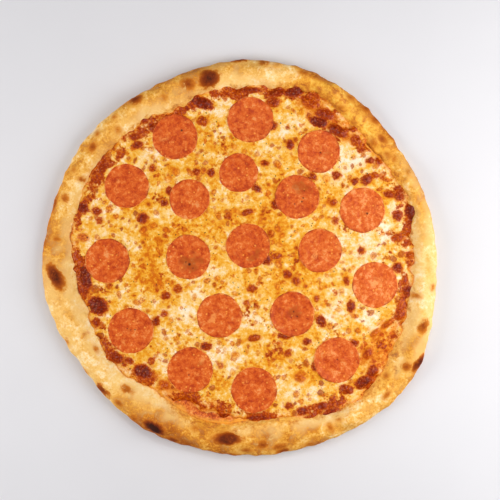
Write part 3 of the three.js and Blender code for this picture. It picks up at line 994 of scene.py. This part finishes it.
def crust_finish():
    look = Finish("baked dough", IOR=1.38, Specular_IOR_Level=0.2)
    broad = look.noise(26, 2)
    blotch = look.noise(7, 4, 0.6, 0.5)
    fine = look.noise(2, 4, 0.7)
    dust = look.noise(0.9, 2)
    colour = dough_colour(look, broad, blotch, fine)
    colour = dotted(look, colour, 4.6, (0.1, 0.26), 0.3, 0.5, srgb(242, 204, 140), srgb(226, 178, 112))
    colour = freckled_dough(look, colour, blotch, fine, dust)
    colour, oil = oiled_dough(look, colour, blotch, fine)
    colour = scorched_dough(look, colour, blotch, fine)
    baked = look.ramp(look.total((0.7, blotch), (0.4, broad)), (0.3, 226, 178, 112), (0.7, 168, 104, 52))
    colour = look.mix(look.tone("under"), colour, baked)
    roughness = look.total((-0.3, oil), (0.15, fine), (1.0, 0.65))
    height = look.total((0.5, blotch), (0.35, fine), (0.15, dust))
    return look.surface(colour, roughness, height, 0.8)


def dough_colour(look, broad, blotch, fine):
    """Cream to golden brown."""
    warmth = look.total((1.3, broad), (1.4, blotch), (1.0, fine), (0.55, look.tone("toast")), (1.0, -1.39))
    return look.ramp(
        warmth,
        (0.1, 255, 231, 184),
        (0.32, 252, 208, 136),
        (0.48, 245, 186, 90),
        (0.64, 232, 160, 56),
        (0.8, 210, 128, 34),
        (1.0, 176, 90, 18),
    )


def freckled_dough(look, colour, blotch, fine, dust):
    """Adds brown freckles, and cream where the rim has stayed pale."""
    freckles = look.rise(look.total((1.0, fine), (0.35, blotch), (0.4, dust)), 0.93, 1.13)
    colour = look.mix(look.times(freckles, 0.7), colour, srgb(196, 112, 40))
    pale = look.rise(look.total((1.0, look.tone("pale")), (2.0, blotch), (0.8, fine), (1.0, -0.9)), 0.5, 1.5)
    cream = look.ramp(look.total((1.0, blotch), (0.5, fine)), (0.4, 255, 238, 192), (0.85, 251, 206, 122))
    return look.mix(look.times(pale, 0.8), colour, cream)


def oiled_dough(look, colour, blotch, fine):
    """Adds the orange oil that has crept out over the rim: (colour, how oily)."""
    edge = look.total((1.0, look.tone("oil_reach")), (0.6, blotch), (0.25, fine), (1.0, -0.42))
    oil = look.rise(edge, -0.08, 0.14)
    tone = look.total((1.7, blotch), (0.9, fine), (1.0, -0.78))
    oily = look.ramp(
        tone, (0.2, 253, 205, 92), (0.45, 245, 178, 60), (0.7, 214, 128, 40),
        (0.95, 158, 78, 26),
    )
    return look.mix(look.times(oil, 0.8), colour, oily), oil


def scorched_dough(look, colour, blotch, fine):
    """Adds the scorched spots, soft and mottled at their edges."""
    gap = look.total((1.0, look.tone("spot_gap")), (15.0, blotch), (7.0, fine), (1.0, -11.3))
    inside = look.rest(look.rise(gap, -6.0, 4.2))
    strength = look.times(look.tone("spot_tone"), inside)
    burn = look.total((1.0, strength), (1.0, fine), (1.0, blotch), (1.0, -1.0))
    scorch = look.ramp(
        burn, (0.04, 228, 154, 58), (0.25, 200, 112, 26), (0.48, 160, 74, 12),
        (0.72, 122, 46, 8), (1.0, 60, 22, 8),
    )
    return look.mix(look.rise(strength, 0.02, 0.3), colour, scorch)


def sauce_finish():
    look = Finish("tomato sauce", IOR=1.4, Specular_IOR_Level=0.35, Coat_Weight=0.15, Coat_Roughness=0.15)
    pulp = look.noise(3.2, 4, 0.65, 0.6)
    broad = look.noise(9, 2)
    colour = look.ramp(
        look.total((1.9, pulp), (0.7, broad), (1.0, -0.78)), (0.2, 150, 48, 14),
        (0.42, 200, 84, 24), (0.6, 224, 116, 38), (0.85, 244, 164, 78),
    )
    colour = look.mix(look.times(look.tone("oily"), 0.85), colour, srgb(248, 172, 54))
    return look.surface(colour, look.total((0.3, pulp), (1.0, 0.2)), pulp, 0.7)


def cheese_finish():
    look = Finish("melted cheese", IOR=1.42, Specular_IOR_Level=0.15, Coat_Roughness=0.12)
    melt = look.noise(6.5, 4, 0.6, 0.3)
    webs = look.noise(2.8, 3, 0.6, 0.2)
    fine = look.noise(1.3, 2)
    bubbles = look.cells(2.1, look.shaken(1.6, 0.9))[0]
    chain = look.bell(look.tone("inward"), 8.0, 12.0)
    colour = melted_colour(look, melt, webs, fine)
    few = look.total((0.5, chain), (0.8, look.noise(16, 2)), (1.0, -0.12))
    many = look.total((0.35, chain), (0.9, look.noise(11, 2)), (1.0, -0.05))
    colour = dotted(look, colour, 2.3, (0.12, 0.28), many, 0.5, srgb(238, 194, 118), srgb(214, 158, 90))
    colour = dotted(look, colour, 3.9, (0.14, 0.34), many, 0.6, srgb(240, 198, 118), srgb(214, 154, 84))
    colour = dotted(look, colour, 7.0, (0.14, 0.36), few, 0.75, srgb(242, 186, 104), srgb(214, 140, 74))
    colour = blistered_cheese(look, colour, webs, fine)
    colour, burn = browned_cheese(look, colour, melt, webs, fine, bubbles)
    charred = look.rise(burn, 0.15, 0.5)
    look.feed(look.shader.inputs["Coat Weight"], look.times(charred, 0.15))
    roughness = look.total((-0.32, charred), (0.2, melt), (1.0, 0.36))
    lumps = look.times(charred, look.rest(bubbles))
    height = look.total((0.45, melt), (0.4, webs), (0.25, fine), (1.0, lumps))
    return look.surface(colour, roughness, height, 0.9)


def melted_colour(look, melt, webs, fine):
    """Cream webs over yellow and orange pools, stewed in places, with a darker orange line along the rim."""
    richness = look.total(
        (0.6, look.noise(30, 2)), (1.5, melt), (1.0, webs), (0.3, fine), (0.26, look.tone("orange")),
        (-0.34, look.tone("creamy")), (1.0, -1.18),
    )
    colour = look.ramp(
        richness,
        (0.1, 252, 230, 198),
        (0.3, 249, 211, 152),
        (0.46, 244, 193, 100),
        (0.64, 238, 169, 48),
        (0.82, 227, 140, 22),
        (1.0, 206, 104, 6),
    )
    mottle = look.total((1.0, melt), (0.9, webs), (0.3, fine), (1.0, -0.6))
    oil = look.ramp(
        mottle, (0.2, 246, 176, 74), (0.42, 230, 134, 32), (0.62, 206, 100, 14),
        (0.85, 160, 62, 6),
    )
    past = look.total((1.0, look.tone("inward")), (7.0, melt), (3.0, webs), (1.0, -5.0))
    line = look.rest(look.rise(past, 0.0, 3.6))
    share = look.math("MAXIMUM", look.times(line, 0.8), look.tone("stewed"))
    return look.mix(look.times(share, 0.9), colour, oil)


def dotted(look, colour, spacing, sizes, share, strength, heart, skin):
    """Tints small browned bubbles, at a share of the places, with one colour inside and one round it."""
    inside, rim = look.rings(spacing, *sizes, share)
    colour = look.mix(look.times(inside, strength), colour, heart, "MULTIPLY")
    return look.mix(look.times(rim, strength), colour, skin, "MULTIPLY")


def blistered_cheese(look, colour, webs, fine):
    """Adds the small blisters that stand up from the cheese: an orange top in a brown skin."""
    gap = look.total((1.0, look.tone("blister_gap")), (5.0, webs), (2.4, fine), (1.0, -3.8))
    shade = look.tone("blister_tone")
    inside = look.rest(look.rise(gap, -1.4, 1.4))
    heart = look.ramp(
        look.total((1.0, shade), (1.1, webs), (0.9, fine), (1.0, -1.12)), (0.1, 250, 208, 130),
        (0.4, 230, 162, 72), (0.65, 200, 120, 44), (0.95, 158, 78, 26),
    )
    colour = look.mix(look.times(inside, 0.9), colour, heart, "MULTIPLY")
    rim = look.times(look.bell(gap, -0.2, 1.0), look.total((0.7, shade), (1.0, 0.14)))
    return look.mix(rim, colour, srgb(196, 112, 52), "MULTIPLY")


def browned_cheese(look, colour, melt, webs, fine, bubbles):
    """Adds the browned patches, and weaker browning along the rim between them, with painted highlights on
    their bubbles: (colour, how burnt).
    """
    tone = look.tone("patch_tone")
    gap = look.total((1.0, look.tone("patch_gap")), (6.0, webs), (4.5, melt), (2.2, fine), (1.0, -6.8))
    core = look.times(tone, look.rest(look.rise(gap, -2.6, 3.8)))
    ring = look.times(tone, look.bell(gap, -0.4, 1.5))
    chain = look.bell(look.tone("inward"), 5.0, 11.0)
    gate = look.total((0.55, chain), (2.4, look.noise(14, 2)), (1.1, melt), (0.7, webs), (1.0, -2.27))
    weak = look.times(look.rise(gate, 0.06, 0.55), 0.46)
    burn = look.math("MAXIMUM", look.total((0.88, core), (0.14, ring)), weak)
    shade = look.total((1.0, burn), (0.6, fine), (0.8, webs), (0.35, bubbles), (1.0, -0.8))
    scorch = look.ramp(
        shade, (0.08, 236, 146, 24), (0.3, 212, 102, 6), (0.55, 176, 64, 2),
        (0.78, 142, 40, 1), (1.0, 108, 26, 1),
    )
    # Painted highlights: the middle of each bubble cell is lightened, standing in for glints of light on the
    # browned bubbles.
    light = look.rest(look.rise(bubbles, 0.02, 0.3))
    scorch = look.mix(look.times(light, 0.4), scorch, srgb(236, 160, 84))
    return look.mix(look.rise(burn, 0.02, 0.4), colour, scorch), burn


def pepperoni_finish():
    look = Finish("pepperoni", IOR=1.42, Specular_IOR_Level=0.22)
    meat = look.noise(3.4, 5, 0.68, 0.4)
    fine = look.noise(1.1, 2)
    patchy = look.noise(6, 3)
    colour = meat_colour(look, meat, fine)
    colour = edged_slice(look, colour, meat, patchy)
    colour = patched_slice(look, colour, meat, fine)
    roughness = look.total((0.5, patchy), (0.25, look.tone("dull")), (1.0, 0.12))
    return look.surface(colour, roughness, look.total((0.7, meat), (0.3, fine)), 0.45)


def meat_colour(look, meat, fine):
    """Red to orange, with a few small grains of fat."""
    broad = look.noise(8, 2)
    warmth = look.total((1.0, broad), (1.9, meat), (0.5, fine), (0.2, look.tone("tint")), (1.0, -1.22))
    colour = look.ramp(
        warmth,
        (0.1, 174, 56, 16),
        (0.32, 199, 76, 22),
        (0.52, 214, 92, 28),
        (0.72, 228, 114, 44),
        (0.95, 244, 158, 94),
    )
    distance, kind = look.cells(3.4, look.shaken(2, 0.8))
    few = look.rise(look.add("SeparateColor", Color=kind).outputs[0], 0.72, 0.76)
    fat = look.times(few, look.rest(look.rise(distance, 0.12, 0.32)))
    return look.mix(look.times(fat, 0.7), colour, srgb(252, 168, 72))


def edged_slice(look, colour, meat, patchy):
    """Adds a darker band and a lighter band at the edge, both broken."""
    edge = look.times(look.tone("rind"), look.rise(patchy, 0.5, 0.62))
    colour = look.mix(look.times(edge, 0.7), colour, srgb(160, 60, 18))
    lip = look.rise(look.total((1.0, look.tone("lip")), (-2.2, patchy), (0.5, meat), (1.0, 0.3)), 0.35, 0.6)
    return look.mix(look.times(lip, 0.7), colour, srgb(246, 172, 84))


def patched_slice(look, colour, meat, fine):
    """Adds the lighter patches, partly fat and partly painted sheen, the dull patches, and the pits."""
    # Lighter streaks all over, strongest in the lighter patches, which are partly fat and partly painted
    # sheen.
    streaky = look.total((1.0, look.tone("fatty")), (2.2, meat), (1.0, fine), (1.0, -1.6))
    colour = look.mix(look.times(look.rise(streaky, 0.0, 1.0), 0.55), colour, srgb(250, 164, 86))
    dull = look.total((1.0, look.tone("dull")), (1.8, meat), (0.8, fine), (1.0, -1.3))
    colour = look.mix(look.times(look.rise(dull, 0.0, 0.95), 0.72), colour, srgb(166, 74, 10))
    return look.mix(look.tone("pit"), colour, srgb(70, 26, 12))


def herb_finish():
    look = Finish("dried herb", IOR=1.45)
    patch = look.noise(14, 1)
    colour = look.ramp(patch, (0.4, 44, 28, 12), (0.6, 70, 58, 24))
    return look.surface(colour, look.total((0.2, patch), (1.0, 0.6)), patch, 0.1)


def floor_finish():
    look = Finish("pale floor", IOR=1.45)
    grain = look.noise(60, 2)
    colour = look.mix(grain, srgb(220, 218, 220), srgb(224, 222, 224))
    return look.surface(colour, look.total((0.1, grain), (1.0, 0.6)), grain, 0.02)


# The stage


def make_floor():
    """A wide level floor under the pizza."""
    bm = bmesh.new()
    bmesh.ops.create_grid(bm, x_segments=1, y_segments=1, size=FLOOR_REACH)
    bmesh.ops.translate(bm, verts=bm.verts, vec=(0, 0, -FLOOR_DROP))
    floor = piece_from(bm, "pale_floor")
    floor.data.transform(Matrix.Scale(MM, 4))
    floor.data.materials.append(floor_finish())


def make_camera():
    """Looks straight down, so that the picture covers PICTURE_WIDTH at the widest part of the rim."""
    distance = PICTURE_WIDTH * LENS / SENSOR
    data = bpy.data.cameras.new("from above")
    data.lens = LENS
    data.sensor_width = SENSOR
    camera = bpy.data.objects.new("from above", data)
    camera.location = Vector((*PICTURE_MIDDLE, distance + RIM_HEIGHT / 2)) * MM
    bpy.context.scene.collection.objects.link(camera)
    bpy.context.scene.camera = camera


def make_softbox(name, place, target, width, power):
    """A square light at a place in metres, turned to a target."""
    data = bpy.data.lights.new(name, "AREA")
    data.shape = "SQUARE"
    data.size = width
    data.energy = power
    light = bpy.data.objects.new(name, data)
    light.location = place
    light.rotation_euler = (Vector(target) - Vector(place)).to_track_quat("-Z", "Y").to_euler()
    bpy.context.scene.collection.objects.link(light)


def make_lights():
    """The softboxes, and a weak even light from all round."""
    for name, light in LIGHTS.items():
        make_softbox(name, *light)
    world = bpy.data.worlds.new("studio")
    world.use_nodes = True
    background = world.node_tree.nodes["Background"]
    background.inputs["Color"].default_value = SKY_COLOUR
    background.inputs["Strength"].default_value = SKY_STRENGTH
    bpy.context.scene.world = world
    bpy.context.scene.view_settings.view_transform = "Standard"


make_camera()
make_floor()
make_lights()
make_crust()
make_sauce()
make_flecks(make_cheese())
make_pepperoni()
